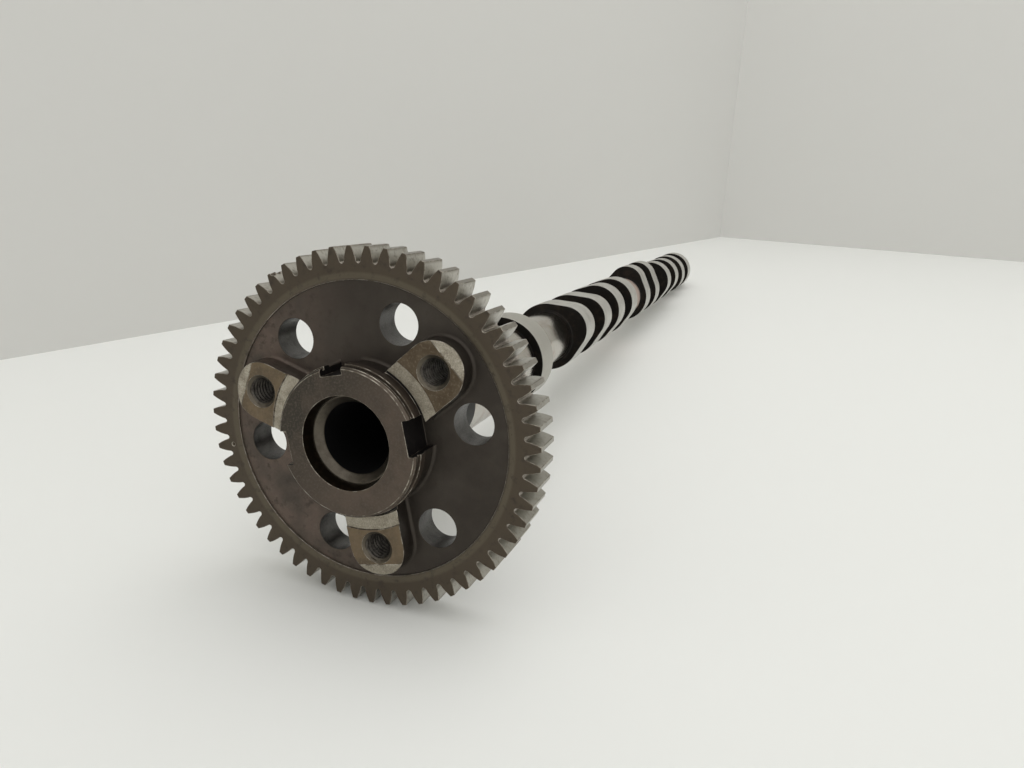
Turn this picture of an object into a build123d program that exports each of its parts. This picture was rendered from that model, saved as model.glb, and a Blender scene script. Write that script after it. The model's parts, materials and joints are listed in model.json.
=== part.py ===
"""Camshaft with five pairs of cams and its timing gear pressed on the front end.

Millimetres, +Z up. The shaft runs along +Y with the gear at the front (-Y) end. The part lies as
it comes to rest on a flat surface: the gear stands on two teeth and the last lobe touches the
surface, so the axis falls a little towards the far end. The origin is under the middle of the
part, on the surface.

Everything is first made in a straight frame: X to the right, Y down, Z along the shaft from the
front face of the gear rim. Angles round the axis start at the top and run clockwise as seen from
the gear end.
"""

from build123d import *
import os
from math import acos, atan2, cos, degrees, radians, sin, tan

# ---- timing gear: teeth ------------------------------------------------------------------
MODULE = 2.0
TEETH = 59
PRESSURE_ANGLE = 20.0
TOOTH_DEPTH = 5.5
GEAR_WIDTH = 12.7
FILLET_START = 0.5  # height of the root curve above the root circle

# ---- timing gear: web, rim and holes -------------------------------------------------------
RIM_INNER_R = 52.6
RIM_BEVEL_WIDTH = 2.4
RIM_BEVEL = 0.3
WEB_FRONT = 0.9
WEB_REAR = 11.0
WEB_HOLES = 6
WEB_HOLE_R = 6.8
WEB_HOLE_CIRCLE_R = 39.1
WEB_HOLE_ANGLE = 16.5

# ---- timing gear: hub ------------------------------------------------------------------------
HUB_FRONT = -12.0
HUB_R = 24.7
HUB_EDGE = 0.7
HUB_GROOVE_DEPTH = 0.6
HUB_GROOVE_FRONT = -10.2
HUB_RING_FRONT = -9.2
HUB_RING_STEP = 0.5  # how much wider the ring behind the groove is
BORE_R = 14.8
BORE_MOUTH_R = 15.6
MOUTH_EDGE = 0.5

# ---- timing gear: slots in the hub (angle, width, depth below the hub's radius) ----------------
SLOTS = ((76.5, 11.5, 3.1), (256.5, 11.5, 3.5), (346.5, 7.7, 2.7))

# ---- timing gear: three lugs with tapped holes -------------------------------------------------
LUGS = 3
LUG_ANGLE = 46.5
LUG_FRONT = -6.3
LUG_R = 10.0
LUG_MARGIN = 3.0  # between the lug's end and the step up to the rim
LUG_TAP_R = 4.25
LUG_SINK = 0.95
LUG_GROOVE_WIDTH = 1.2
LUG_GROOVE_DEPTH = 1.2
LUG_LAND_WIDTH = 4.6  # turned inner end of the lug's face
LUG_LAND_DROP = 0.4
LUG_END_LENGTH = 4.8  # sloping outer end of the lug's face
LUG_END_SLOPE = 12.0
BASE_FILLET = 1.2

# ---- shaft: plain turned parts -------------------------------------------------------------------
SHAFT_FRONT = -7.5
REAR_NECK_R = 16.0
REAR_NECK_LENGTH = 19.3
BEARING_LENGTH = 87.0
BEARING_R = 18.5
UNDERCUT_R = 17.2
UNDERCUT_LENGTH = 5.5
COLLAR_LENGTH = 16.5
COLLAR_R = 21.4
FRONT_NECK_LENGTH = 57.5
JOURNAL_R = 14.3
END_JOURNAL_LENGTH = 22.0
SHAFT_EDGE = 0.8
NECK_FILLET = 1.4

# ---- shaft: hollow front end ----------------------------------------------------------------------
HOLLOW_R = 12.0
HOLLOW_DEPTH = 110.0
HOLLOW_LAND = 0.3  # flat ring left round the wide countersink
HOLLOW_SINK = 2.5
DRILL_POINT = 59.0  # half angle of the drilled end

# ---- lobes --------------------------------------------------------------------------------------------
LOBE_WIDTH = 18.5
LOBE_BASE_R = 18.8
LOBE_PEAK_R = 24.1
LOBE_EDGE = 0.4
PAIR_PITCH = 43.5  # between the two lobes of a pair
NEAR_PITCH = 40.5  # between two pairs that stand close together
FAR_PITCH = 75.5  # between two pairs with a long neck between them
SHARP_NOSE_R = 13.0
BROAD_NOSE_R = 16.5
# nose angle and nose radius of each lobe, from the gear end
LOBES = (
    (61.0, SHARP_NOSE_R),
    (61.0, SHARP_NOSE_R),
    (52.0, BROAD_NOSE_R),
    (50.0, BROAD_NOSE_R),
    (6.0, SHARP_NOSE_R),
    (5.0, SHARP_NOSE_R),
    (49.0, BROAD_NOSE_R),
    (52.0, BROAD_NOSE_R),
    (245.0, SHARP_NOSE_R),
    (245.0, SHARP_NOSE_R),
)

# ---- worked out from the above ------------------------------------------------------------------------
CLOSE = 0.01  # how near counts as the same place
PITCH_R = MODULE * TEETH / 2
TIP_R = PITCH_R + MODULE
ROOT_R = TIP_R - TOOTH_DEPTH
BASE_R = PITCH_R * cos(radians(PRESSURE_ANGLE))
TOOTH_PITCH = 360.0 / TEETH
LOWEST = 180.0
FIRST_TOOTH = LOWEST + TOOTH_PITCH / 2
WEB_R = RIM_INNER_R - RIM_BEVEL_WIDTH
HUB_RING_R = HUB_R + HUB_RING_STEP
HUB_GROOVE_R = HUB_R - HUB_GROOVE_DEPTH
LUG_CIRCLE_R = WEB_R - LUG_MARGIN - LUG_R
LUG_END_R = LUG_CIRCLE_R + LUG_R
LUG_GROOVE_R = HUB_RING_R + LUG_GROOVE_WIDTH
LUG_ANGLES = [LUG_ANGLE + n * 360 / LUGS for n in range(LUGS)]
BEARING_START = GEAR_WIDTH + REAR_NECK_LENGTH
BEARING_END = BEARING_START + BEARING_LENGTH
COLLAR_START = BEARING_END + UNDERCUT_LENGTH
COLLAR_END = COLLAR_START + COLLAR_LENGTH
FIRST_LOBE = COLLAR_END + FRONT_NECK_LENGTH
LOBE_GAPS = (PAIR_PITCH, NEAR_PITCH, PAIR_PITCH, FAR_PITCH) * 2 + (PAIR_PITCH,)
LOBE_STARTS = [FIRST_LOBE + sum(LOBE_GAPS[:n]) for n in range(len(LOBES))]
LAST_LOBE_END = LOBE_STARTS[-1] + LOBE_WIDTH
SHAFT_END = LAST_LOBE_END + END_JOURNAL_LENGTH


def around(radius, angle):
    """A point of the cross-section: angle from the top, clockwise from the gear end."""
    return (radius * sin(radians(angle)), -radius * cos(radians(angle)))


def turned(points):
    """A solid of revolution about the shaft axis from (radius, place along the axis) points."""
    profile = make_face(Polyline([(r, 0, z) for r, z in points], close=True))
    return revolve(profile, Axis.Z)


def slab(face, start, end):
    """A cross-section face made into a solid between two places along the axis."""
    return Pos(0, 0, start) * extrude(face, amount=end - start, dir=(0, 0, 1))


def tooth_half_angle(radius):
    """Half the angle that one tooth takes up at a radius, for an involute flank."""
    at_pitch = 90.0 / TEETH
    pressure = radians(PRESSURE_ANGLE)
    here = acos(BASE_R / radius)
    return at_pitch + degrees((tan(pressure) - pressure) - (tan(here) - here))


def tooth_ring():
    """The outline of the teeth: two flanks, a flat tip and a round root for each tooth."""
    foot_r = ROOT_R + FILLET_START
    middle_r = (foot_r + TIP_R) / 2
    edges = []
    for n in range(TEETH):
        angle = FIRST_TOOTH + n * TOOTH_PITCH
        rise = [around(r, angle - tooth_half_angle(r)) for r in (foot_r, middle_r, TIP_R)]
        fall = [around(r, angle + tooth_half_angle(r)) for r in (TIP_R, middle_r, foot_r)]
        root = around(ROOT_R, angle + TOOTH_PITCH / 2)
        next_foot = around(foot_r, angle + TOOTH_PITCH - tooth_half_angle(foot_r))
        edges += [ThreePointArc(*rise), Line(rise[-1], fall[0]), ThreePointArc(*fall)]
        edges.append(ThreePointArc(fall[-1], root, next_foot))
    return make_face(edges)


def lug_outline(angle):
    """Parallel sides from the hub and a round outer end about the tapped hole."""
    middle = (BORE_R + LUG_CIRCLE_R) / 2
    bar = Pos(middle, 0) * Rectangle(LUG_CIRCLE_R - BORE_R, 2 * LUG_R)
    end = Pos(LUG_CIRCLE_R, 0) * Circle(LUG_R)
    return Rot(0, 0, angle - 90) * (bar + end)


def toothed_disc():
    """The ring of teeth with a shallow recess in each side of the web."""
    disc = slab(tooth_ring(), 0, GEAR_WIDTH)
    disc -= turned([
        (0, 0), (RIM_INNER_R, 0), (WEB_R, RIM_BEVEL), (WEB_R, WEB_FRONT), (0, WEB_FRONT),
    ])
    disc -= turned([
        (HUB_R, GEAR_WIDTH), (RIM_INNER_R, GEAR_WIDTH), (WEB_R, GEAR_WIDTH - RIM_BEVEL),
        (WEB_R, WEB_REAR), (HUB_R, WEB_REAR),
    ])
    return disc


def with_lugs(disc):
    """The disc with the foot of the hub and the lugs standing on it, in a soft curve."""
    foot = slab(Circle(HUB_RING_R), LUG_FRONT, WEB_FRONT)
    for angle in LUG_ANGLES:
        foot += slab(lug_outline(angle), LUG_FRONT, WEB_FRONT)
    gear = disc + foot
    web_edges = gear.edges().filter_by_position(Axis.Z, WEB_FRONT - CLOSE, WEB_FRONT + CLOSE)
    centre = Vertex(0, 0, WEB_FRONT)
    foot_edges = [edge for edge in web_edges if edge.distance_to(centre) < LUG_END_R]
    return fillet(foot_edges, BASE_FILLET)


def hub_nose():
    """The turned nose of the hub: an outer edge, a groove and a slightly wider ring."""
    return turned([
        (0, LUG_FRONT), (0, HUB_FRONT), (HUB_R - HUB_EDGE, HUB_FRONT),
        (HUB_R, HUB_FRONT + HUB_EDGE), (HUB_R, HUB_GROOVE_FRONT),
        (HUB_GROOVE_R, HUB_GROOVE_FRONT), (HUB_GROOVE_R, HUB_RING_FRONT),
        (HUB_RING_R, HUB_RING_FRONT), (HUB_RING_R, LUG_FRONT),
    ])


def lug_facing():
    """What is turned off the lugs: a groove beside the hub and a slightly lower land."""
    land_front = LUG_FRONT + LUG_LAND_DROP
    land_end = LUG_GROOVE_R + LUG_LAND_WIDTH
    clear = LUG_FRONT - LUG_LAND_DROP
    groove_end = LUG_FRONT + LUG_GROOVE_DEPTH
    return turned([
        (HUB_RING_R, clear), (land_end, clear), (land_end, land_front),
        (LUG_GROOVE_R, land_front), (LUG_GROOVE_R, groove_end), (HUB_RING_R, groove_end),
    ])


def lug_slope(angle):
    """What is milled off the outer end of a lug's face."""
    drop = LUG_END_LENGTH * tan(radians(LUG_END_SLOPE))
    start = LUG_END_R - LUG_END_LENGTH
    side = make_face(Polyline([
        (start, 0, LUG_FRONT), (start + 2 * LUG_END_LENGTH, 0, LUG_FRONT),
        (start + 2 * LUG_END_LENGTH, 0, LUG_FRONT + 2 * drop),
    ], close=True))
    return Rot(0, 0, angle - 90) * Pos(0, -LUG_R, 0) * extrude(side, amount=2 * LUG_R, dir=(0, 1, 0))


def tapped_hole(angle):
    """A tapping-size hole through a lug and the web, countersunk at the lug's face."""
    x, y = around(LUG_CIRCLE_R, angle)
    return Pos(x, y, 0) * turned([
        (0, LUG_FRONT), (LUG_TAP_R + LUG_SINK, LUG_FRONT), (LUG_TAP_R, LUG_FRONT + LUG_SINK),
        (LUG_TAP_R, GEAR_WIDTH), (0, GEAR_WIDTH),
    ])


def slot(angle, width, depth):
    """A slot milled along the side of the hub, down to the web."""
    floor_r = HUB_R - depth
    block = Pos((floor_r + LUG_GROOVE_R) / 2, 0) * Rectangle(LUG_GROOVE_R - floor_r, width)
    return slab(Rot(0, 0, angle - 90) * block & Circle(LUG_GROOVE_R), HUB_FRONT, WEB_FRONT)


def gear_bore():
    """The seat for the shaft, which opens a little towards the front."""
    return turned([
        (0, HUB_FRONT), (BORE_MOUTH_R + MOUTH_EDGE, HUB_FRONT),
        (BORE_MOUTH_R, HUB_FRONT + MOUTH_EDGE), (BORE_R, SHAFT_FRONT), (BORE_R, GEAR_WIDTH),
        (0, GEAR_WIDTH),
    ])


def timing_gear():
    """Spur gear with a thin web, a slotted hub and three lugs, bored for the shaft."""
    gear = with_lugs(toothed_disc()) + hub_nose() - lug_facing() - gear_bore()
    for angle in LUG_ANGLES:
        gear -= lug_slope(angle)
        gear -= tapped_hole(angle)
    for angle, width, depth in SLOTS:
        gear -= slot(angle, width, depth)
    for n in range(WEB_HOLES):
        x, y = around(WEB_HOLE_CIRCLE_R, WEB_HOLE_ANGLE + n * 360 / WEB_HOLES)
        gear -= slab(Pos(x, y) * Circle(WEB_HOLE_R), 0, GEAR_WIDTH)
    return gear


def lobe(start, angle, nose_r):
    """A cam with a round base, a round nose and straight flanks that touch both."""
    offset = LOBE_PEAK_R - nose_r
    swing = degrees(acos((LOBE_BASE_R - nose_r) / offset))

    def on_base(turn):
        return around(LOBE_BASE_R, angle + turn)

    def on_nose(turn):
        centre = around(offset, angle)
        out = around(nose_r, angle + turn)
        return (centre[0] + out[0], centre[1] + out[1])

    outline = make_face([
        ThreePointArc(on_base(swing), on_base(180), on_base(-swing)),
        Line(on_base(-swing), on_nose(-swing)),
        ThreePointArc(on_nose(-swing), on_nose(0), on_nose(swing)),
        Line(on_nose(swing), on_base(swing)),
    ])
    body = slab(outline, start, start + LOBE_WIDTH)
    rims = body.faces().sort_by(Axis.Z)
    return chamfer(rims[0].edges() + rims[-1].edges(), LOBE_EDGE)


def turned_shaft():
    """The shaft before its lobes: gear seat, long bearing, collar and one thickness to the end."""
    return turned([
        (0, SHAFT_FRONT), (BORE_R, SHAFT_FRONT), (BORE_R, GEAR_WIDTH), (REAR_NECK_R, GEAR_WIDTH),
        (REAR_NECK_R, BEARING_START), (BEARING_R - SHAFT_EDGE, BEARING_START),
        (BEARING_R, BEARING_START + SHAFT_EDGE), (BEARING_R, BEARING_END - SHAFT_EDGE),
        (BEARING_R - SHAFT_EDGE, BEARING_END), (UNDERCUT_R, BEARING_END),
        (UNDERCUT_R, COLLAR_START), (COLLAR_R - LOBE_EDGE, COLLAR_START),
        (COLLAR_R, COLLAR_START + LOBE_EDGE), (COLLAR_R, COLLAR_END - LOBE_EDGE),
        (COLLAR_R - LOBE_EDGE, COLLAR_END), (JOURNAL_R, COLLAR_END),
        (JOURNAL_R, SHAFT_END - SHAFT_EDGE), (JOURNAL_R - SHAFT_EDGE, SHAFT_END), (0, SHAFT_END),
    ])


def hollow():
    """The drilled and countersunk hole in the shaft's front end."""
    end = SHAFT_FRONT + HOLLOW_DEPTH
    return turned([
        (0, SHAFT_FRONT), (BORE_R - HOLLOW_LAND, SHAFT_FRONT), (HOLLOW_R, SHAFT_FRONT + HOLLOW_SINK),
        (HOLLOW_R, end), (0, end + HOLLOW_R / tan(radians(DRILL_POINT))),
    ])


def camshaft():
    """The shaft with its lobes, a soft curve beside each of them, drilled from the front end."""
    shaft = turned_shaft()
    for start, (angle, nose_r) in zip(LOBE_STARTS, LOBES):
        shaft += lobe(start, angle, nose_r)
    corners = [
        edge for edge in shaft.edges().filter_by(GeomType.CIRCLE)
        if abs(edge.radius - JOURNAL_R) < CLOSE and edge.center().Z < LAST_LOBE_END + CLOSE
    ]
    return fillet(corners, NECK_FILLET) - hollow()


# ---- laid down on the surface --------------------------------------------------------------------------
# the gear stands on the rear corners of two tooth tips, the shaft on its last lobe's rear edge
gear_height = TIP_R * cos(radians(TOOTH_PITCH / 2 - tooth_half_angle(TIP_R)))
far_contact = LAST_LOBE_END - LOBE_EDGE
tilt = degrees(atan2(gear_height - LOBE_BASE_R, far_contact - GEAR_WIDTH))

pieces = {"camshaft": camshaft(), "timing_gear": timing_gear()}
pieces = {name: Rot(-(90 + tilt), 0, 0) * piece for name, piece in pieces.items()}
box = pieces["camshaft"].bounding_box().add(pieces["timing_gear"].bounding_box())
rest = Pos(-(box.min.X + box.max.X) / 2, -(box.min.Y + box.max.Y) / 2, -box.min.Z)

os.makedirs("parts", exist_ok=True)
for name, piece in pieces.items():
    export_step(rest * piece, f"parts/{name}.step")
print(f"tilt {tilt:.4f} degrees, moved by {rest.position}")
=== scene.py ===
import json
from math import acos, ceil, cos, degrees, pi, radians, sin, tan

import bmesh
import bpy
from mathutils import Matrix, Vector


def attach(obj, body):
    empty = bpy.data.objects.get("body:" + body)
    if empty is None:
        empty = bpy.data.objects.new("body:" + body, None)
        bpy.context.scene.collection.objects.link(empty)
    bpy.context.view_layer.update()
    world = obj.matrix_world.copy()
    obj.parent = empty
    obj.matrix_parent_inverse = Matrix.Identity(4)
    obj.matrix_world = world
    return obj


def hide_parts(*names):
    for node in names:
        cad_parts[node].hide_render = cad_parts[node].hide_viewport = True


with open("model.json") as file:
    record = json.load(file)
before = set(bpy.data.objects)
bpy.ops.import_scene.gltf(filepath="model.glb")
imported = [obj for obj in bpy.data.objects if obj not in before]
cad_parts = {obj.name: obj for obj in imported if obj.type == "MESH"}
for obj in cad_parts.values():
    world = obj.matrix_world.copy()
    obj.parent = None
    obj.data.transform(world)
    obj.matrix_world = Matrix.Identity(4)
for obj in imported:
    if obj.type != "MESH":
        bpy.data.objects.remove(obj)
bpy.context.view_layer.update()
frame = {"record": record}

# ---- camshaft ------------------------------------------------------------------------------------
# One steel shaft: a seat for the gear, a long front bearing, a collar, ten cams and the necks
# between them. The journals and the cams' running faces are ground bright, the cams' sides keep
# their dark skin, and the front end is drilled hollow.

# The part rests on two gear teeth and on its last cam, so its axis falls towards the far end.
# Every piece is made straight, in millimetres, with Y along the shaft from the front face of the
# gear's rim and Z at the top, and is then laid down in one step.
MM = 0.001
TAPPED_WALL_FRONT = -5.35  # where the tapped holes' straight walls begin
mounts = {mount["name"]: mount for mount in frame["record"]["mounts"]}
shaft_way = Vector(mounts["rear_journal"]["axis"]).normalized()
rim_centre = Vector(mounts["lug_bolts"]["pos_m"]) - TAPPED_WALL_FRONT * MM * shaft_way
sideways = Vector((1, 0, 0))
turned_down = Matrix((sideways, shaft_way, sideways.cross(shaft_way))).transposed()
lay_down = Matrix.Translation(rim_centre) @ turned_down.to_4x4() @ Matrix.Scale(MM, 4)


def around(radius, angle, along):
    """A point of the shaft: the angle runs clockwise from the top, seen from the gear end."""
    return Vector((radius * sin(radians(angle)), along, radius * cos(radians(angle))))


# The metal is bare steel or iron that was machined, run in oil and handled. The finishes share four
# groups: where a point is on the shaft, cloudy stains, fine tool marks and small pits.
def shader_group(name, inputs, outputs):
    group = bpy.data.node_groups.new(name, "ShaderNodeTree")
    for label, kind, value in inputs:
        socket = group.interface.new_socket(label, in_out="INPUT", socket_type=kind)
        if value is not None:
            socket.default_value = value
    for label, kind in outputs:
        group.interface.new_socket(label, in_out="OUTPUT", socket_type=kind)
    return group, group.nodes.new("NodeGroupInput"), group.nodes.new("NodeGroupOutput")


def node(tree, kind, settings=None, **inputs):
    """A node with its settings; each input is a value, or a socket that feeds it."""
    made = tree.nodes.new(kind)
    for key, value in (settings or {}).items():
        setattr(made, key, value)
    for key, value in inputs.items():
        label = key.replace("_", " ")
        index = int(label[1:]) if label[0] == "i" and label[1:].isdigit() else label
        if isinstance(value, bpy.types.NodeSocket):
            tree.links.new(value, made.inputs[index])
        else:
            made.inputs[index].default_value = value
    return made


FLOAT, VECTOR = "NodeSocketFloat", "NodeSocketVector"

place_group, _, place_out = shader_group(
    "place_on_shaft", [], [("Spot", VECTOR), ("Radius", FLOAT), ("Along", FLOAT)]
)
coordinates = node(place_group, "ShaderNodeTexCoord")
straight = node(
    place_group, "ShaderNodeMapping", {"vector_type": "TEXTURE"},
    Vector=coordinates.outputs["Object"], Location=rim_centre, Rotation=turned_down.to_euler(),
    Scale=(MM, MM, MM),
)
split = node(place_group, "ShaderNodeSeparateXYZ", i0=straight.outputs[0])
flat = node(place_group, "ShaderNodeCombineXYZ", X=split.outputs["X"], Z=split.outputs["Z"])
from_axis = node(place_group, "ShaderNodeVectorMath", {"operation": "LENGTH"}, i0=flat.outputs[0])
place_group.links.new(straight.outputs[0], place_out.inputs["Spot"])
place_group.links.new(from_axis.outputs["Value"], place_out.inputs["Radius"])
place_group.links.new(split.outputs["Y"], place_out.inputs["Along"])

stain_group, stain_in, stain_out = shader_group(
    "stains",
    [("Spot", VECTOR, None), ("Size", FLOAT, 8.0), ("From", FLOAT, 0.4), ("To", FLOAT, 0.65)],
    [("Mask", FLOAT)],
)
stain_scale = node(
    stain_group, "ShaderNodeMath", {"operation": "DIVIDE"}, i0=1.0, i1=stain_in.outputs["Size"]
)
stain_noise = node(
    stain_group, "ShaderNodeTexNoise", Vector=stain_in.outputs["Spot"],
    Scale=stain_scale.outputs[0], Detail=6.0, Roughness=0.62,
)
stain_edge = node(
    stain_group, "ShaderNodeMapRange", i0=stain_noise.outputs["Fac"],
    i1=stain_in.outputs["From"], i2=stain_in.outputs["To"],
)
stain_group.links.new(stain_edge.outputs[0], stain_out.inputs["Mask"])

marks_group, marks_in, marks_out = shader_group(
    "tool_marks", [("Travel", FLOAT, 0.0), ("Pitch", FLOAT, 0.4)], [("Height", FLOAT)]
)
marks_turn = node(
    marks_group, "ShaderNodeMath", {"operation": "DIVIDE"}, i0=marks_in.outputs["Travel"],
    i1=marks_in.outputs["Pitch"],
)
marks_noise = node(
    marks_group, "ShaderNodeTexNoise", {"noise_dimensions": "1D"}, W=marks_turn.outputs[0],
    Detail=2.0, Roughness=0.5,
)
marks_group.links.new(marks_noise.outputs["Fac"], marks_out.inputs["Height"])

PIT_EDGE = 0.06  # how far the noise rises from a pit's rim to its full colour
pits_group, pits_in, pits_out = shader_group(
    "pits",
    [("Spot", VECTOR, None), ("Size", FLOAT, 0.8), ("Rarity", FLOAT, 0.7)],
    [("Mask", FLOAT)],
)
pits_scale = node(
    pits_group, "ShaderNodeMath", {"operation": "DIVIDE"}, i0=1.0, i1=pits_in.outputs["Size"]
)
pits_noise = node(
    pits_group, "ShaderNodeTexNoise", Vector=pits_in.outputs["Spot"], Scale=pits_scale.outputs[0],
    Detail=3.0, Roughness=0.7,
)
pits_full = node(
    pits_group, "ShaderNodeMath", {"operation": "ADD"}, i0=pits_in.outputs["Rarity"], i1=PIT_EDGE
)
pits_edge = node(
    pits_group, "ShaderNodeMapRange", i0=pits_noise.outputs["Fac"],
    i1=pits_in.outputs["Rarity"], i2=pits_full.outputs[0],
)
pits_group.links.new(pits_edge.outputs[0], pits_out.inputs["Mask"])


class Finish:
    """A metal finish that is built up from one colour by laying others over it."""

    def __init__(self, name, colour, roughness, metallic):
        self.material = bpy.data.materials.new(name)
        self.material.use_nodes = True
        self.tree = self.material.node_tree
        self.shader = self.tree.nodes["Principled BSDF"]
        self.shader.inputs["Metallic"].default_value = metallic
        self.place = self.group(place_group)
        self.colour = (*colour, 1)
        self.roughness = roughness
        self.height = None
        self.shader.inputs["Base Color"].default_value = self.colour
        self.shader.inputs["Roughness"].default_value = roughness

    def group(self, tree, **inputs):
        return node(self.tree, "ShaderNodeGroup", {"node_tree": tree}, **inputs)

    def mixed(self, kind, mask, first, second):
        index = {"FLOAT": (2, 3, 0), "RGBA": (6, 7, 2)}[kind]
        mix = node(self.tree, "ShaderNodeMix", {"data_type": kind}, i0=mask)
        for socket, value in zip(index[:2], (first, second)):
            if isinstance(value, bpy.types.NodeSocket):
                self.tree.links.new(value, mix.inputs[socket])
            else:
                mix.inputs[socket].default_value = value
        return mix.outputs[index[2]]

    def lay(self, mask, colour=None, roughness=None):
        """Lays another colour or roughness over the finish where the mask is."""
        if colour is not None:
            self.colour = self.mixed("RGBA", mask, self.colour, (*colour, 1))
            self.tree.links.new(self.colour, self.shader.inputs["Base Color"])
        if roughness is not None:
            self.roughness = self.mixed("FLOAT", mask, self.roughness, roughness)
            self.tree.links.new(self.roughness, self.shader.inputs["Roughness"])

    def stains(self, size, start, full, colour=None, roughness=None):
        spot = self.place.outputs["Spot"]
        mask = self.group(stain_group, Spot=spot, Size=size, From=start, To=full)
        self.lay(mask.outputs["Mask"], colour, roughness)

    def pits(self, size, rarity, colour=None, roughness=None):
        mask = self.group(pits_group, Spot=self.place.outputs["Spot"], Size=size, Rarity=rarity)
        self.lay(mask.outputs["Mask"], colour, roughness)

    def band(self, measure, start, end, soft, colour=None, roughness=None):
        """A band between two radii or two places along the shaft, with soft edges."""
        value = self.place.outputs[measure]
        rise = node(self.tree, "ShaderNodeMapRange", i0=value, i1=start - soft, i2=start + soft)
        fall = node(self.tree, "ShaderNodeMapRange", i0=value, i1=end + soft, i2=end - soft)
        both = node(
            self.tree, "ShaderNodeMath", {"operation": "MULTIPLY"},
            i0=rise.outputs[0], i1=fall.outputs[0],
        )
        self.lay(both.outputs[0], colour, roughness)

    def painted_shading(self, angle, start, full, colour):
        """Paints light or shade across the gear's face, growing towards an angle round the shaft:
        painted shade where the colour is darker, painted light where it is lighter.
        """
        way = around(1, angle, 0)
        across = node(
            self.tree, "ShaderNodeVectorMath", {"operation": "DOT_PRODUCT"},
            i0=self.place.outputs["Spot"], i1=way,
        )
        mask = node(
            self.tree, "ShaderNodeMapRange", {"interpolation_type": "SMOOTHSTEP"},
            i0=across.outputs["Value"], i1=start, i2=full,
        )
        self.lay(mask.outputs[0], colour)

    def bump(self, height, distance):
        settings = {"Height": height, "Distance": distance * MM}
        if self.height is not None:
            settings["Normal"] = self.height
        made = node(self.tree, "ShaderNodeBump", **settings)
        self.height = made.outputs["Normal"]
        self.tree.links.new(self.height, self.shader.inputs["Normal"])

    def tool_marks(self, measure, pitch, depth):
        marks = self.group(marks_group, Travel=self.place.outputs[measure], Pitch=pitch)
        self.bump(marks.outputs["Height"], depth)

    def rough_skin(self, size, depth):
        noise = node(
            self.tree, "ShaderNodeTexNoise", Vector=self.place.outputs["Spot"],
            Scale=1 / size, Detail=4.0,
        )
        self.bump(noise.outputs["Fac"], depth)


ground = Finish("ground_cam_face", (0.50, 0.49, 0.455), 0.4, 0.85)
ground.stains(9.0, 0.45, 0.7, colour=(0.41, 0.395, 0.36), roughness=0.5)
ground.pits(0.9, 0.68, colour=(0.2, 0.18, 0.15))
ground.band("Along", 122, 143, 1, colour=(0.42, 0.405, 0.365))
ground.tool_marks("Along", 0.25, 0.012)

polished = Finish("polished_journal", (0.46, 0.435, 0.39), 0.15, 1.0)
polished.stains(14.0, 0.5, 0.7, colour=(0.34, 0.25, 0.2), roughness=0.24)
polished.band("Along", 347, 400, 3, colour=(0.5, 0.41, 0.36), roughness=0.7)
polished.tool_marks("Along", 0.5, 0.004)

dark_skin = Finish("dark_cam_side", (0.010, 0.0085, 0.007), 0.5, 0.8)
dark_skin.stains(5.0, 0.5, 0.75, colour=(0.03, 0.021, 0.015), roughness=0.42)
dark_skin.tool_marks("Radius", 0.7, 0.02)

turned_end = Finish("turned_shaft_end", (0.105, 0.091, 0.072), 0.3, 0.9)
turned_end.stains(5.0, 0.42, 0.75, colour=(0.045, 0.037, 0.028), roughness=0.38)
turned_end.tool_marks("Radius", 0.4, 0.02)

# painted shade: the deep bore in the hollow front end is painted almost black
painted_shade_bore = Finish("painted_shade_bore", (0.003, 0.0025, 0.003), 0.7, 0.5)
painted_shade_bore.rough_skin(1.5, 0.05)

SHAFT_STEPS = 132
CURVE_STEPS = 5
CAM_STEP = 4  # degrees between the corners of a cam's outline
SHAFT_ROUNDING = 0.4
SHAFT_FRONT = -7.5
GEAR_WIDTH = 12.7
SEAT_R = 14.8
HOLLOW_R = 12.0
HOLLOW_MOUTH_R = 14.5
HOLLOW_MOUTH_END = -5.0
HOLLOW_END = 102.5
DRILL_POINT = 7.2
REAR_NECK_R = 16.0
BEARING_START, BEARING_END, BEARING_R = 32.0, 119.0, 18.5
BEARING_SHADE_END = 50.0  # close behind the gear the bearing is painted dark up to here, as painted shade for the shadowed neck behind the gear
UNDERCUT_R = 17.2
COLLAR_START, COLLAR_END, COLLAR_R = 124.5, 141.0, 21.4
NECK_R = 14.3
NECK_CURVE = 1.4
SHAFT_END, SHAFT_EDGE = 688.5, 0.8
LOBE_WIDTH, LOBE_BASE_R, LOBE_PEAK_R = 18.5, 18.8, 24.1
FIRST_LOBE = 198.5
PAIR_PITCH, NEAR_PITCH, FAR_PITCH = 43.5, 40.5, 75.5
LOBE_GAPS = (PAIR_PITCH, NEAR_PITCH, PAIR_PITCH, FAR_PITCH) * 2 + (PAIR_PITCH,)
LOBE_STARTS = [FIRST_LOBE + sum(LOBE_GAPS[:n]) for n in range(10)]
NOSE_ANGLES = (61, 61, 52, 50, 6, 5, 49, 52, 245, 245)
NOSE_RADII = (13.0, 13.0, 16.5, 16.5, 13.0, 13.0, 16.5, 16.5, 13.0, 13.0)
SKIN_DEPTH = 0.02  # how far a neck's curve sinks into the cam beside it
SAME_SPOT = 1e-4  # corners closer than this are one
SHARP_EDGE = 32  # edges that turn by more degrees than this are broken
HARD_EDGE = 60  # and shading stays hard on those that still turn by more than this


def turned(form, corners, steps):
    """Turns (along, radius, finish) corners about the axis; each finish is of the band after it."""
    angles = [180 + 360 * n / steps for n in range(steps)]
    rings = []
    for along, radius, _ in corners:
        if radius == 0:
            rings.append([form.verts.new((0, along, 0))] * steps)
        else:
            rings.append([form.verts.new(around(radius, angle, along)) for angle in angles])
    for (_, _, finish), here, after in zip(corners, rings, rings[1:]):
        for n in range(steps):
            m = (n + 1) % steps
            corners_of_face = list(dict.fromkeys((here[n], here[m], after[m], after[n])))
            form.faces.new(corners_of_face).material_index = finish


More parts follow.
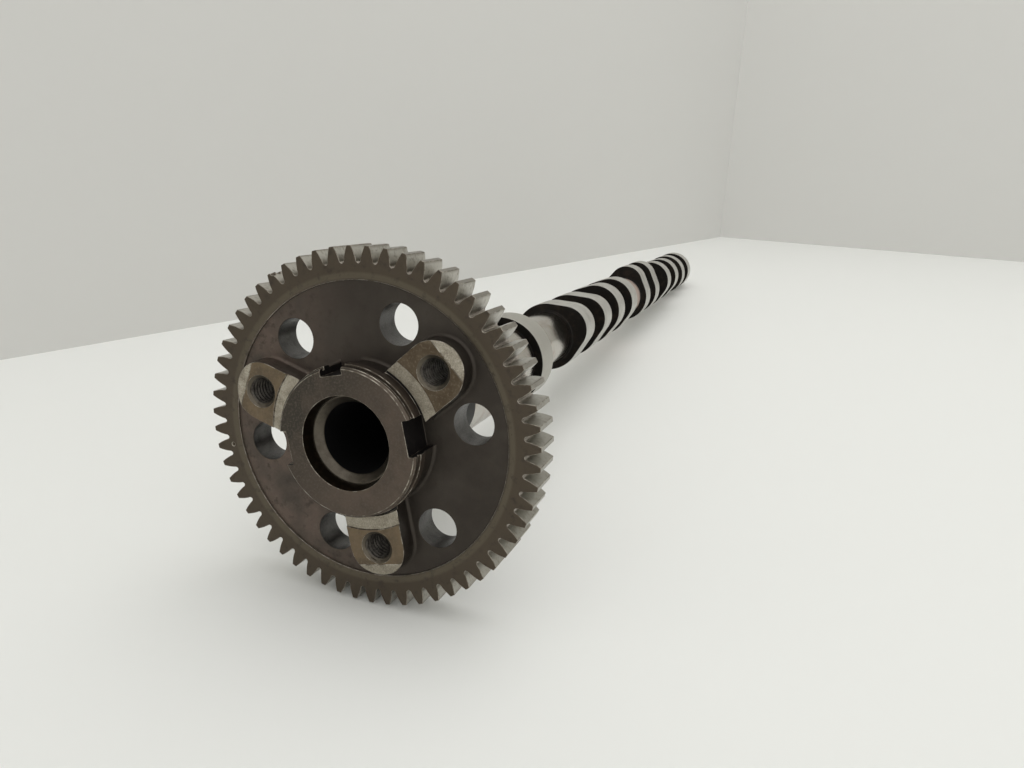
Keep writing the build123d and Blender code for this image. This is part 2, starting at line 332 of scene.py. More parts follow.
def neck_curve(place, towards_end):
    """A quarter circle from a neck up to the side of the cam or collar beside it."""
    curve = []
    for n in range(CURVE_STEPS + 1):
        turn = radians(90 * n / CURVE_STEPS)
        rise = NECK_CURVE * (1 - cos(turn))
        back = NECK_CURVE * (1 - sin(turn)) - SKIN_DEPTH
        curve.append((place - back if towards_end else place + back, NECK_R + rise, CAM_SIDE))
    if towards_end:
        return curve
    curve.reverse()
    curve[-1] = (*curve[-1][:2], NECK)
    return curve


def prism(form, outline, start, end, side_finish, rim_finish):
    """A solid between two places along the shaft from points (x, z) of its outline."""
    front = [form.verts.new((x, start, z)) for x, z in outline]
    rear = [form.verts.new((x, end, z)) for x, z in outline]
    form.faces.new(front).material_index = side_finish
    form.faces.new(rear[::-1]).material_index = side_finish
    for n in range(len(outline)):
        m = (n + 1) % len(outline)
        form.faces.new((front[n], rear[n], rear[m], front[m])).material_index = rim_finish


def cam_outline(nose_angle, nose_r):
    """Round base, round nose and the two straight flanks that touch both."""
    reach = LOBE_PEAK_R - nose_r
    swing = degrees(acos((LOBE_BASE_R - nose_r) / reach))
    nose_centre = around(reach, nose_angle, 0)
    nose_steps = ceil(2 * swing / CAM_STEP)
    base_steps = ceil((360 - 2 * swing) / CAM_STEP)
    outline = []
    for n in range(nose_steps + 1):
        point = nose_centre + around(nose_r, nose_angle - swing + 2 * swing * n / nose_steps, 0)
        outline.append((point.x, point.z))
    for n in range(base_steps + 1):
        point = around(LOBE_BASE_R, nose_angle + swing + (360 - 2 * swing) * n / base_steps, 0)
        outline.append((point.x, point.z))
    return outline


def piece_from(name, form, finishes):
    bmesh.ops.recalc_face_normals(form, faces=form.faces)
    mesh = bpy.data.meshes.new(name)
    form.to_mesh(mesh)
    form.free()
    for finish in finishes:
        mesh.materials.append(finish.material)
    piece = bpy.data.objects.new(name, mesh)
    bpy.context.collection.objects.link(piece)
    return piece


def settled(piece):
    """Makes the piece's modifiers part of its plain mesh."""
    bpy.context.view_layer.update()
    graph = bpy.context.evaluated_depsgraph_get()
    mesh = bpy.data.meshes.new_from_object(piece.evaluated_get(graph))
    mesh.name = piece.name
    piece.modifiers.clear()
    piece.data = mesh


def combined(piece, other, operation):
    """Joins or cuts with another piece, which is used up."""
    step = piece.modifiers.new(operation.lower(), "BOOLEAN")
    step.operation = operation
    step.solver = "EXACT"
    step.use_self = operation == "DIFFERENCE"
    step.object = other
    settled(piece)
    bpy.data.objects.remove(other)


def finished(piece, edge, edge_finish=-1):
    """Breaks the sharp edges, evens the shading and lays the piece in its place."""
    step = piece.modifiers.new("broken_edges", "BEVEL")
    step.width = edge
    step.segments = 2
    step.limit_method = "ANGLE"
    step.angle_limit = radians(SHARP_EDGE)
    step.use_clamp_overlap = False
    step.material = edge_finish
    step.miter_outer = "MITER_ARC"
    settled(piece)
    form = bmesh.new()
    form.from_mesh(piece.data)
    bmesh.ops.remove_doubles(form, verts=form.verts, dist=SAME_SPOT)
    form.to_mesh(piece.data)
    form.free()
    piece.data.shade_smooth()
    piece.data.set_sharp_from_angle(angle=radians(HARD_EDGE))
    even = piece.modifiers.new("even_shading", "WEIGHTED_NORMAL")
    even.keep_sharp = True
    settled(piece)
    piece.data.transform(lay_down)


CAM_FACE, NECK, CAM_SIDE, END, BORE = range(5)
shaft_corners = [
    (HOLLOW_END + DRILL_POINT, 0, BORE), (HOLLOW_END, HOLLOW_R, BORE),
    (HOLLOW_MOUTH_END, HOLLOW_R, END), (SHAFT_FRONT, HOLLOW_MOUTH_R, END),
    (SHAFT_FRONT, SEAT_R, END), (GEAR_WIDTH, SEAT_R, END), (GEAR_WIDTH, REAR_NECK_R, CAM_SIDE),
    (BEARING_START, REAR_NECK_R, CAM_SIDE), (BEARING_START, BEARING_R, CAM_SIDE),
    (BEARING_SHADE_END, BEARING_R, NECK), (BEARING_END, BEARING_R, CAM_SIDE),
    (BEARING_END, UNDERCUT_R, CAM_SIDE),
    (COLLAR_START, UNDERCUT_R, CAM_SIDE), (COLLAR_START, COLLAR_R, CAM_FACE),
    (COLLAR_END, COLLAR_R, CAM_SIDE),
]
shaft_corners += neck_curve(COLLAR_END, False)
for start in LOBE_STARTS:
    shaft_corners += neck_curve(start, True)
    shaft_corners += neck_curve(start + LOBE_WIDTH, False)
shaft_corners += [
    (SHAFT_END - SHAFT_EDGE, NECK_R, NECK), (SHAFT_END, NECK_R - SHAFT_EDGE, CAM_SIDE),
    (SHAFT_END, 0, CAM_SIDE),
]

shaft_finishes = (ground, polished, dark_skin, turned_end, painted_shade_bore)
bar = bmesh.new()
turned(bar, shaft_corners, SHAFT_STEPS)
shaft = piece_from("camshaft_body", bar, shaft_finishes)

cams = bmesh.new()
for start, angle, nose_r in zip(LOBE_STARTS, NOSE_ANGLES, NOSE_RADII):
    prism(cams, cam_outline(angle, nose_r), start, start + LOBE_WIDTH, CAM_SIDE, CAM_FACE)
combined(shaft, piece_from("cams", cams, shaft_finishes), "UNION")
finished(shaft, SHAFT_ROUNDING)
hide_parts("camshaft")
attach(shaft, "root")

# ---- gear teeth ----------------------------------------------------------------------------------
# The rim carries 59 hobbed spur teeth. Their flanks are polished pale where the next gear has run
# on them, while their sides are as dark as the rest of the gear and their edges are rubbed bright.
gear_iron = Finish("gear_iron", (0.112, 0.083, 0.067), 0.42, 0.7)
gear_iron.stains(2.2, 0.52, 0.78, colour=(0.135, 0.108, 0.086))
# painted shade: the gear's face is darker towards its right side, a dark reflection painted into
# the iron
gear_iron.painted_shading(75, -38, 14, colour=(0.036, 0.029, 0.023))
gear_iron.stains(16.0, 0.42, 0.68, colour=(0.055, 0.046, 0.037), roughness=0.5)
gear_iron.band("Radius", 51.2, 70, 1.0, colour=(0.068, 0.053, 0.037))
gear_iron.band("Radius", 50.6, 52.6, 0.4, colour=(0.092, 0.076, 0.053), roughness=0.36)
gear_iron.stains(3.0, 0.54, 0.72, colour=(0.045, 0.036, 0.028), roughness=0.55)
gear_iron.pits(0.7, 0.69, colour=(0.035, 0.028, 0.022), roughness=0.7)
gear_iron.tool_marks("Radius", 0.5, 0.02)

tooth_flank = Finish("tooth_flank", (0.2, 0.18, 0.15), 0.34, 0.85)
tooth_flank.band("Radius", 57.0, 60.6, 0.5, colour=(0.44, 0.42, 0.375), roughness=0.28)
# painted shade: the flanks are darker on the right side of the gear
tooth_flank.painted_shading(105, 30, 62, colour=(0.32, 0.305, 0.265))
# painted light: the tooth roots are painted lighter, lifting the shade between the teeth
tooth_flank.band("Radius", 54.0, 55.8, 0.2, colour=(0.42, 0.37, 0.33), roughness=0.4)
tooth_flank.stains(1.6, 0.5, 0.72, colour=(0.22, 0.2, 0.165))
tooth_flank.pits(0.6, 0.66, colour=(0.07, 0.055, 0.04))
tooth_flank.tool_marks("Radius", 0.3, 0.01)

tooth_edge = Finish("tooth_edge", (0.36, 0.33, 0.28), 0.3, 0.9)
tooth_edge.stains(2.5, 0.4, 0.6, colour=(0.13, 0.11, 0.085), roughness=0.4)

TEETH = 59
MODULE = 2.0
PRESSURE_ANGLE = 20.0
PITCH_R = MODULE * TEETH / 2
TIP_R = PITCH_R + MODULE
TOOTH_HEIGHT = 5.5
ROOT_R = TIP_R - TOOTH_HEIGHT
FOOT_RISE = 0.5  # from the root up to where a flank starts
FOOT_R = ROOT_R + FOOT_RISE
ROOT_RISE, ROOT_LEAN = 0.12, 0.12  # a point halfway to it, in millimetres and degrees
FLANK_BASE_R = PITCH_R * cos(radians(PRESSURE_ANGLE))
TOOTH_PITCH = 360 / TEETH
FIRST_TOOTH = 180 + TOOTH_PITCH / 2
RIM_INNER_R, RIM_BEVEL = 52.6, 0.3
WEB_R = 50.2
FLANK_STEPS = 4
JOINED_WITHIN = 0.01  # the copies' edges lie closer together than this
SIDE_LEAN = 0.5  # a face whose normal points along the shaft by more than this is a side
GEAR_ROUNDING = 0.16


def tooth_half_angle(radius):
    """Half the angle that a tooth takes up at a radius, for an involute flank."""
    pitch_pressure = radians(PRESSURE_ANGLE)
    here = acos(FLANK_BASE_R / radius)
    unrolled = (tan(pitch_pressure) - pitch_pressure) - (tan(here) - here)
    return 90 / TEETH + degrees(unrolled)


def tooth_outline():
    """One tooth with half a gap on each side, from the middle of one gap to the next."""
    half_pitch = TOOTH_PITCH / 2
    foot_angle = tooth_half_angle(FOOT_R)
    root_angle = (-half_pitch - foot_angle) / 2 - ROOT_LEAN
    rise = [(ROOT_R, -half_pitch), (ROOT_R + ROOT_RISE, root_angle)]
    for n in range(FLANK_STEPS + 1):
        radius = FOOT_R + (TIP_R - FOOT_R) * n / FLANK_STEPS
        rise.append((radius, -tooth_half_angle(radius)))
    return rise + [(radius, -angle) for radius, angle in rise[::-1]]


def one_tooth():
    """The tooth with its slice of the rim, open where the next slices join it."""
    form = bmesh.new()
    inside = [FIRST_TOOTH + TOOTH_PITCH / 2 * turn for turn in (1, 1 / 3, -1 / 3, -1)]
    rings = []
    outline = [(radius, FIRST_TOOTH + angle) for radius, angle in tooth_outline()]
    outline += [(RIM_INNER_R, angle) for angle in inside]
    for along in (0, GEAR_WIDTH):
        rings.append([form.verts.new(around(radius, angle, along)) for radius, angle in outline])
    front, rear = rings
    form.faces.new(front)
    form.faces.new(rear[::-1])
    tooth_points = len(front) - len(inside)
    for n in range(tooth_points - 1):
        form.faces.new((front[n], rear[n], rear[n + 1], front[n + 1]))
    levels = [front[tooth_points:]]
    for along in (RIM_BEVEL, GEAR_WIDTH - RIM_BEVEL):
        levels.append([form.verts.new(around(WEB_R, angle, along)) for angle in inside])
    levels.append(rear[tooth_points:])
    for here, after in zip(levels, levels[1:]):
        for n in range(len(inside) - 1):
            form.faces.new((here[n], after[n], after[n + 1], here[n + 1]))
    return form


def tooth_tree():
    """Copies a tooth round the shaft, joins the copies and gives flanks and sides their finish."""
    tree = bpy.data.node_groups.new("ring_of_teeth", "GeometryNodeTree")
    tree.interface.new_socket("Tooth", in_out="INPUT", socket_type="NodeSocketGeometry")
    tree.interface.new_socket("Teeth", in_out="INPUT", socket_type="NodeSocketInt")
    tree.interface.new_socket("Ring", in_out="OUTPUT", socket_type="NodeSocketGeometry")
    start = tree.nodes.new("NodeGroupInput")
    end = tree.nodes.new("NodeGroupOutput")
    spots = node(tree, "GeometryNodePoints", Count=start.outputs["Teeth"])
    number = node(tree, "GeometryNodeInputIndex")
    share = node(
        tree, "ShaderNodeMath", {"operation": "DIVIDE"},
        i0=number.outputs[0], i1=start.outputs["Teeth"],
    )
    turn = node(tree, "ShaderNodeMath", {"operation": "MULTIPLY"}, i0=share.outputs[0], i1=2 * pi)
    spin = node(tree, "ShaderNodeCombineXYZ", Y=turn.outputs[0])
    copies = node(
        tree, "GeometryNodeInstanceOnPoints", Points=spots.outputs[0],
        Instance=start.outputs["Tooth"], Rotation=spin.outputs[0],
    )
    plain = node(tree, "GeometryNodeRealizeInstances", Geometry=copies.outputs[0])
    joined = node(
        tree, "GeometryNodeMergeByDistance", Geometry=plain.outputs[0],
        Distance=JOINED_WITHIN,
    )
    normal = node(tree, "GeometryNodeInputNormal")
    parts = node(tree, "ShaderNodeSeparateXYZ", i0=normal.outputs[0])
    lean = node(tree, "ShaderNodeMath", {"operation": "ABSOLUTE"}, i0=parts.outputs["Y"])
    is_flank = node(
        tree, "FunctionNodeCompare", {"operation": "LESS_THAN"}, A=lean.outputs[0], B=SIDE_LEAN
    )
    sides = node(
        tree, "GeometryNodeSetMaterial", Geometry=joined.outputs[0], Material=gear_iron.material
    )
    flanks = node(
        tree, "GeometryNodeSetMaterial", Geometry=sides.outputs[0], Selection=is_flank.outputs[0],
        Material=tooth_flank.material,
    )
    tree.links.new(flanks.outputs[0], end.inputs["Ring"])
    return tree


ring = piece_from("gear_teeth", one_tooth(), (gear_iron, tooth_flank))
copier = ring.modifiers.new("ring_of_teeth", "NODES")
copier.node_group = tooth_tree()
teeth_input = next(item for item in copier.node_group.interface.items_tree if item.name == "Teeth")
copier[teeth_input.identifier] = TEETH
settled(ring)
ring.data.materials.append(tooth_edge.material)
TOOTH_EDGE = len(ring.data.materials) - 1

# a centre punch mark on the rim, in line with one of the hub's slots, and a tooth with two chips
CHIPPED_TOOTH = 23
CHIPS = ((61.2, 1.8, 0.7, 1.9), (61.3, 1.3, 3.9, 1.5))  # radius, degrees, place along, size
MARK_R, MARK_ANGLE, MARK_SIZE, MARK_SIDES = 54.2, 256.5, 0.75, 12
MARK_MOUTH, MARK_START = 1.3, -0.3  # radius and place of the punch's wide end, for a size of 1
punch = bmesh.new()
mark = around(MARK_R, MARK_ANGLE, 0)
point = punch.verts.new(mark + Vector((0, MARK_SIZE, 0)))
rim_of_mark = []
for n in range(MARK_SIDES):
    spot = around(MARK_SIZE * MARK_MOUTH, 360 / MARK_SIDES * n, MARK_START * MARK_SIZE)
    rim_of_mark.append(punch.verts.new(mark + spot))
punch.faces.new(rim_of_mark)
for n in range(MARK_SIDES):
    punch.faces.new((rim_of_mark[n], rim_of_mark[(n + 1) % MARK_SIDES], point))
for radius, turn, along, size in CHIPS:
    spot = around(radius, FIRST_TOOTH + CHIPPED_TOOTH * TOOTH_PITCH + turn, along)
    bmesh.ops.create_icosphere(punch, subdivisions=2, radius=size, matrix=Matrix.Translation(spot))
combined(ring, piece_from("punch", punch, (gear_iron,)), "DIFFERENCE")
finished(ring, GEAR_ROUNDING, TOOTH_EDGE)
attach(ring, "root")

# ---- gear body -----------------------------------------------------------------------------------
# A thin web with six round holes, a hub with three slots and three raised lugs, all one with the
# teeth. The lugs have a turned land next to the hub and a slope at the other end, both worn pale;
# on the lug at 286.5 degrees they are painted lighter still, as painted light.
hub_steel = Finish("hub_nose", (0.094, 0.071, 0.055), 0.4, 0.75)
# painted shade: the hub's nose is darker towards its left side
hub_steel.painted_shading(300, -12, 18, colour=(0.042, 0.036, 0.028))
hub_steel.stains(7.0, 0.42, 0.66, colour=(0.07, 0.055, 0.043), roughness=0.48)
hub_steel.stains(0.8, 0.48, 0.76, colour=(0.105, 0.085, 0.068))
hub_steel.pits(0.6, 0.68, colour=(0.03, 0.025, 0.02))
hub_steel.tool_marks("Radius", 0.35, 0.015)

drilled_wall = Finish("drilled_wall", (0.08, 0.076, 0.072), 0.35, 0.8)
drilled_wall.stains(4.0, 0.48, 0.7, colour=(0.045, 0.042, 0.04), roughness=0.45)
drilled_wall.tool_marks("Along", 0.4, 0.02)

lug_face = Finish("lug_face", (0.15, 0.11, 0.068), 0.4, 0.75)
# painted shade: the lug at 46.5 degrees is darker than the other two
lug_face.painted_shading(46, -5, 35, colour=(0.072, 0.051, 0.031))
lug_face.stains(5.0, 0.42, 0.65, colour=(0.105, 0.08, 0.052), roughness=0.48)
lug_face.stains(0.9, 0.52, 0.74, colour=(0.17, 0.135, 0.095))
lug_face.pits(0.5, 0.67, colour=(0.05, 0.038, 0.026))
lug_face.tool_marks("Radius", 0.4, 0.02)

worn_land = Finish("worn_lug_land", (0.3, 0.27, 0.21), 0.42, 0.7)
# painted light: the land and slope of the lug at 286.5 degrees are lighter than on the other lugs
worn_land.painted_shading(286, 10, 40, colour=(0.46, 0.42, 0.34))
worn_land.stains(3.0, 0.4, 0.65, colour=(0.21, 0.18, 0.135), roughness=0.5)
worn_land.stains(0.6, 0.44, 0.7, colour=(0.38, 0.35, 0.29))
worn_land.stains(0.28, 0.5, 0.72, colour=(0.13, 0.11, 0.08))
worn_land.pits(0.4, 0.66, colour=(0.11, 0.09, 0.065))
worn_land.rough_skin(0.6, 0.03)

# painted shade: the walls and floors of the hub's slots, and the small groove inside the lugs'
# turned land, are painted almost black
painted_shade_slot = Finish("painted_shade_slot", (0.012, 0.01, 0.01), 0.5, 0.7)
painted_shade_slot.stains(2.0, 0.5, 0.7, colour=(0.024, 0.02, 0.018))
painted_shade_slot.rough_skin(0.8, 0.03)

rubbed_edge = Finish("rubbed_edge", (0.4, 0.37, 0.31), 0.26, 0.9)
rubbed_edge.stains(3.0, 0.38, 0.54, colour=(0.12, 0.1, 0.078), roughness=0.38)
rubbed_edge.band("Along", -5.0, 14.0, 0.3, colour=(0.07, 0.06, 0.05), roughness=0.45)

bore_wall = Finish("rusty_bore_wall", (0.013, 0.008, 0.004), 0.45, 0.8)
bore_wall.stains(2.2, 0.5, 0.7, colour=(0.032, 0.021, 0.012))
bore_wall.rough_skin(0.7, 0.03)

WEB_FRONT, WEB_REAR = 0.9, 11.0
WEB_OVERLAP = 1.0  # how far the web reaches into the rim
HUB_FRONT, HUB_R = -12.0, 24.7
HUB_EDGE = 0.7
GROOVE_FRONT, GROOVE_REAR, GROOVE_R = -10.2, -9.2, 24.1
HUB_RING_R, HUB_RING_REAR = 25.2, -6.2
HUB_NECK_R = 24.6
MOUTH_R = 15.6
FOOT_CURVE = 1.2
LUG_FRONT, LUG_R, LUG_CIRCLE_R = -6.3, 10.0, 37.2
LUG_INSIDE_HUB, LUG_INSIDE_WEB = 6.0, 1.0  # how far the lugs reach into the metal behind them
LUG_END_STEPS = 24
LUG_ANGLES = (46.5, 166.5, 286.5)
LUG_LAND = (26.4, 31.0, -5.9)  # inner and outer radius of the turned land and its place
LUG_GROOVE_REAR = -5.1
LUG_SLOPE_START, LUG_SLOPE = 43.2, 12.0
LUG_EDGE = 0.4  # width of the bright strip at the start of the slope
COUNTERSINK_R, COUNTERSINK_STEPS = 5.5, 40
HOLE_R, HOLE_CIRCLE_R, FIRST_HOLE, HOLES, HOLE_STEPS = 6.8, 39.1, 16.5, 6, 56
SLOTS = ((76.5, 11.5, 21.6), (256.5, 11.5, 21.2), (346.5, 7.7, 22.0))
BODY_STEPS = 3 * TEETH
CLEAR = 1.0  # how far a tool reaches past what it cuts, where none of the next three holds
SLOPE_CLEAR, DRILL_CLEAR, HOLE_CLEAR = 4.0, 2.0, 3.0  # the slope, the tapped and the round holes
SLOT_GAP = 0.1  # the slots stop this far inside the lugs' turned land
IRON, HUB, DRILLED, LUG, WORN, SLOT, EDGE, RUSTY = range(8)
gear_finishes = (
    gear_iron, hub_steel, drilled_wall, lug_face, worn_land, painted_shade_slot, rubbed_edge, bore_wall
)


def foot_curve(radius, finish):
    """Corners of the soft curve at the foot of the hub, from the web outside it up to it."""
    curve = []
    for n in range(CURVE_STEPS + 1):
        turn = radians(90 * n / CURVE_STEPS)
        out = FOOT_CURVE * (1 - sin(turn))
        up = FOOT_CURVE * (1 - cos(turn))
        curve.append((WEB_FRONT - up, radius + out, finish))
    return curve


def lug_points(spread):
    """Parallel sides that start inside the hub and a round end, all grown by the spread."""
    half = LUG_R + spread
    inner = HUB_R - LUG_INSIDE_HUB
    points = [Vector((inner, 0, -half))]
    for n in range(LUG_END_STEPS + 1):
        turn = radians(-90 + 180 * n / LUG_END_STEPS)
        points.append(Vector((LUG_CIRCLE_R + half * cos(turn), 0, half * sin(turn))))
    points.append(Vector((inner, 0, half)))
    return points


def lug(form, angle):
    """A lug from its face down into the web, with the same soft curve at its foot."""
    levels = [(LUG_FRONT, 0)]
    for n in range(CURVE_STEPS + 1):
        turn = radians(90 * n / CURVE_STEPS)
        levels.append((WEB_FRONT - FOOT_CURVE * (1 - sin(turn)), FOOT_CURVE * (1 - cos(turn))))
    levels.append((WEB_FRONT + LUG_INSIDE_WEB, FOOT_CURVE))
    swing = Matrix.Rotation(radians(angle - 90), 3, "Y")
    rings = []
    for along, spread in levels:
        level = Vector((0, along, 0))
        rings.append([form.verts.new(swing @ (point + level)) for point in lug_points(spread)])
    form.faces.new(rings[0]).material_index = LUG
    form.faces.new(rings[-1][::-1]).material_index = IRON
    for here, after in zip(rings, rings[1:]):
        for n in range(len(here)):
            m = (n + 1) % len(here)
            form.faces.new((here[n], after[n], after[m], here[m])).material_index = IRON


def drill(form, radius, circle_r, angle, start, end, steps, finish):
    """A round cutter along the shaft at a place on the gear's face."""
    centre = around(circle_r, angle, 0)
    outline = []
    for n in range(steps):
        point = centre + around(radius, 360 * n / steps, 0)
        outline.append((point.x, point.z))
    prism(form, outline, start, end, finish, finish)


def milled(form, profile, half_width, angle, finishes):
    """A cutter from (out, along) points of its profile, at an angle round the shaft."""
    swing = Matrix.Rotation(radians(angle - 90), 3, "Y")
    sides = []
    for side in (-half_width, half_width):
        sides.append([form.verts.new(swing @ Vector((out, along, side))) for out, along in profile])
    form.faces.new(sides[0]).material_index = finishes[0]
    form.faces.new(sides[1][::-1]).material_index = finishes[0]
    for n, finish in enumerate(finishes):
        m = (n + 1) % len(profile)
        corners = (sides[0][n], sides[1][n], sides[1][m], sides[0][m])
        form.faces.new(corners).material_index = finish


body_corners = [
    (HUB_FRONT + HUB_EDGE, HUB_R, HUB), (HUB_FRONT, HUB_R - HUB_EDGE, HUB),
    (HUB_FRONT, MOUTH_R, RUSTY), (SHAFT_FRONT, SEAT_R, RUSTY),
    (GEAR_WIDTH, SEAT_R, IRON), (GEAR_WIDTH, HUB_R, IRON), (WEB_REAR, HUB_R, IRON),
    (WEB_REAR, WEB_R + WEB_OVERLAP, IRON), (WEB_FRONT, WEB_R + WEB_OVERLAP, IRON),
]
body_corners += foot_curve(HUB_NECK_R, IRON)
body_corners += [
    (HUB_RING_REAR, HUB_NECK_R, HUB), (HUB_RING_REAR, HUB_RING_R, HUB),
    (GROOVE_REAR, HUB_RING_R, HUB), (GROOVE_REAR, GROOVE_R, HUB), (GROOVE_FRONT, GROOVE_R, HUB),
    (GROOVE_FRONT, HUB_R, HUB), (HUB_FRONT + HUB_EDGE, HUB_R, HUB),
]
disc = bmesh.new()
turned(disc, body_corners, BODY_STEPS)
bmesh.ops.remove_doubles(disc, verts=disc.verts, dist=SAME_SPOT)
body = piece_from("gear_body", disc, gear_finishes)

lugs = bmesh.new()
for angle in LUG_ANGLES:
    lug(lugs, angle)
combined(body, piece_from("lugs", lugs, gear_finishes), "UNION")

facing = bmesh.new()
land_inner, land_outer, land_front = LUG_LAND
turned(facing, [
    (LUG_FRONT - CLEAR, HUB_RING_R, WORN), (LUG_FRONT - CLEAR, land_outer, EDGE),
    (land_front, land_outer, WORN), (land_front, land_inner, SLOT),
    (LUG_GROOVE_REAR, land_inner, SLOT), (LUG_GROOVE_REAR, HUB_RING_R, HUB),
    (LUG_FRONT - CLEAR, HUB_RING_R, WORN),
], BODY_STEPS)
bmesh.ops.remove_doubles(facing, verts=facing.verts, dist=SAME_SPOT)
combined(body, piece_from("facing_tool", facing, gear_finishes), "DIFFERENCE")

cutters = bmesh.new()
slope_end = LUG_SLOPE_START + LUG_R
slope_fall = LUG_R * tan(radians(LUG_SLOPE))
slope_profile = [
    (LUG_SLOPE_START - LUG_EDGE / 2, LUG_FRONT),
    (LUG_SLOPE_START + LUG_EDGE / 2, LUG_FRONT + LUG_EDGE / 2 * tan(radians(LUG_SLOPE))),
    (slope_end, LUG_FRONT + slope_fall), (slope_end, LUG_FRONT - SLOPE_CLEAR),
    (LUG_SLOPE_START - LUG_EDGE / 2, LUG_FRONT - SLOPE_CLEAR),
]
for angle in LUG_ANGLES:
    milled(cutters, slope_profile, LUG_R + CLEAR, angle, (EDGE, WORN, WORN, WORN, WORN))
    drill(
        cutters, COUNTERSINK_R, LUG_CIRCLE_R, angle, LUG_FRONT - DRILL_CLEAR, GEAR_WIDTH + CLEAR,
        COUNTERSINK_STEPS, DRILLED,
    )
foot_r = HUB_NECK_R + FOOT_CURVE
slot_end = land_inner - SLOT_GAP
for angle, width, floor_r in SLOTS:
    slot_profile = [
        (floor_r, HUB_FRONT - CLEAR), (floor_r, WEB_FRONT), (foot_r, WEB_FRONT),
        (foot_r, HUB_RING_REAR), (slot_end, HUB_RING_REAR), (slot_end, HUB_FRONT - CLEAR),
    ]
    milled(cutters, slot_profile, width / 2, angle, (SLOT, IRON, SLOT, SLOT, SLOT, SLOT))
for n in range(HOLES):
    angle = FIRST_HOLE + n * 360 / HOLES
    drill(
        cutters, HOLE_R, HOLE_CIRCLE_R, angle, -HOLE_CLEAR, GEAR_WIDTH + HOLE_CLEAR, HOLE_STEPS,
        DRILLED,
    )
combined(body, piece_from("cutters", cutters, gear_finishes), "DIFFERENCE")
finished(body, GEAR_ROUNDING, EDGE)
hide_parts("timing_gear")
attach(body, "root")

# ---- threads in the lugs -------------------------------------------------------------------------
# An M10 thread with 1.5 mm pitch is tapped through each lug. The crests start small at the
# countersink and the grooves hold dark oil.
thread_steel = Finish("tapped_thread", (0.07, 0.063, 0.054), 0.38, 0.85)
thread_steel.stains(1.2, 0.45, 0.65, colour=(0.025, 0.021, 0.018), roughness=0.5)
thread_steel.band("Along", LUG_FRONT - 1, LUG_FRONT + 1.1, 0.3, colour=(0.115, 0.098, 0.075))

THREAD_R, THREAD_CREST_R, THREAD_PITCH = 5.05, 4.15, 1.5
CREST_EDGE = 50  # shading stays hard on edges that turn by more degrees than this
THREAD_STEPS = 40
STEPS_A_PITCH = 8
FLAT_CREST = 1.35  # the ridges would be this much higher, but are cut off flat


def thread_wall(turn, depth):
    """Radius of the tapped wall: a ridge for each pitch, cut back by the countersink."""
    phase = (depth / THREAD_PITCH - turn) % 1
    ridge = 1 - abs(2 * phase - 1)
    radius = THREAD_R - (THREAD_R - THREAD_CREST_R) * min(1, FLAT_CREST * ridge)
    return max(radius, COUNTERSINK_R - depth)


threads = bmesh.new()
thread_length = GEAR_WIDTH - LUG_FRONT
levels = ceil(thread_length / THREAD_PITCH * STEPS_A_PITCH)
for angle in LUG_ANGLES:
    centre = around(LUG_CIRCLE_R, angle, 0)
    inner, outer = [], []
    for level in range(levels + 1):
        depth = thread_length * level / levels
        loop = []
        for n in range(THREAD_STEPS):
            radius = thread_wall(n / THREAD_STEPS, depth)
            wall = around(radius, 360 * n / THREAD_STEPS, LUG_FRONT + depth)
            loop.append(threads.verts.new(centre + wall))
        inner.append(loop)
    for along in (LUG_FRONT, GEAR_WIDTH):
        outer.append([
            threads.verts.new(centre + around(COUNTERSINK_R, 360 * n / THREAD_STEPS, along))
            for n in range(THREAD_STEPS)
        ])
    walls = [outer[0]] + inner + [outer[1], outer[0]]
    for here, after in zip(walls, walls[1:]):
        for n in range(THREAD_STEPS):
            m = (n + 1) % THREAD_STEPS
            threads.faces.new((here[n], here[m], after[m], after[n]))
bmesh.ops.remove_doubles(threads, verts=threads.verts, dist=SAME_SPOT)
thread_piece = piece_from("lug_threads", threads, (thread_steel,))
thread_piece.data.shade_smooth()
thread_piece.data.set_sharp_from_angle(angle=radians(CREST_EDGE))
thread_piece.data.transform(lay_down)
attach(thread_piece, "root")

# ---- room ----------------------------------------------------------------------------------------
# A white table top and two pale walls, which meet in a corner behind the far end of the shaft.
# From outside the room the walls can't be seen, so they never hide the part.
ROOM_CORNER = Vector((0.001, 0.8448, 0))
LEFT_WALL_WAY = Vector((-0.3336, -0.9427, 0))
RIGHT_WALL_WAY = Vector((0.9983, -0.0578, 0))
ROOM_SIZE = 4.0
WALL_HEIGHT = 2.0


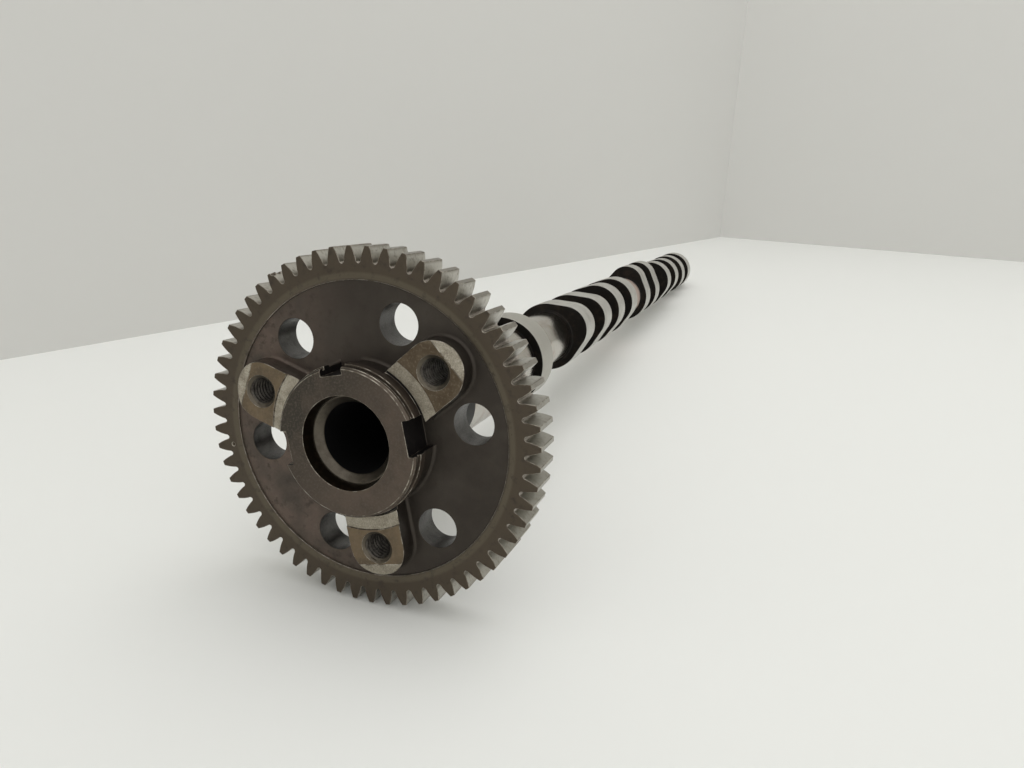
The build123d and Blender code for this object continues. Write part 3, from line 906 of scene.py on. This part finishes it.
def painted(name, colour, see_through_back=False):
    material = bpy.data.materials.new(name)
    material.use_nodes = True
    tree = material.node_tree
    shader = tree.nodes["Principled BSDF"]
    shader.inputs["Base Color"].default_value = (*colour, 1)
    shader.inputs["Roughness"].default_value = 0.85
    if see_through_back:
        clear = tree.nodes.new("ShaderNodeBsdfTransparent")
        sight = tree.nodes.new("ShaderNodeNewGeometry")
        both = node(
            tree, "ShaderNodeMixShader", i0=sight.outputs["Backfacing"], i1=shader.outputs[0],
            i2=clear.outputs[0],
        )
        tree.links.new(both.outputs[0], tree.nodes["Material Output"].inputs["Surface"])
    return material


def backdrop(name, corners, material):
    mesh = bpy.data.meshes.new(name)
    mesh.from_pydata(corners, [], [range(len(corners))])
    mesh.materials.append(material)
    sheet = bpy.data.objects.new(name, mesh)
    bpy.context.collection.objects.link(sheet)


table_white = painted("table_white", (0.79, 0.795, 0.77))
wall_grey = painted("wall_grey", (0.62, 0.615, 0.59), see_through_back=True)
side = Vector((ROOM_SIZE, 0, 0))
deep = Vector((0, ROOM_SIZE, 0))
up = Vector((0, 0, WALL_HEIGHT))
left_end = ROOM_CORNER + ROOM_SIZE * LEFT_WALL_WAY
right_end = ROOM_CORNER + ROOM_SIZE * RIGHT_WALL_WAY
backdrop("table_top", [-side - deep, side - deep, side + deep, -side + deep], table_white)
backdrop("left_wall", [left_end, ROOM_CORNER, ROOM_CORNER + up, left_end + up], wall_grey)
backdrop("right_wall", [ROOM_CORNER, right_end, right_end + up, ROOM_CORNER + up], wall_grey)

# ---- light and camera ----------------------------------------------------------------------------
# Wide soft light from above, as from a light tent, and a little from every side.
world = bpy.data.worlds.new("room_light")
world.use_nodes = True
world.node_tree.nodes["Background"].inputs["Color"].default_value = (1, 1, 0.985, 1)
world.node_tree.nodes["Background"].inputs["Strength"].default_value = 1.05
bpy.context.scene.world = world

lamp_data = bpy.data.lights.new("soft_lamp", "AREA")
lamp_data.size = 1.6
lamp_data.energy = 10
lamp = bpy.data.objects.new("soft_lamp", lamp_data)
lamp.location = (-0.1, 0.15, 1.5)
bpy.context.collection.objects.link(lamp)

camera_data = bpy.data.cameras.new("camera")
camera_data.lens = 27.13
camera = bpy.data.objects.new("camera", camera_data)
camera.location = (0.12369, -0.5428, 0.15696)
camera.rotation_euler = (radians(72.014), radians(-2.040), radians(20.232))
bpy.context.collection.objects.link(camera)
bpy.context.scene.camera = camera
bpy.context.scene.view_settings.view_transform = "Standard"
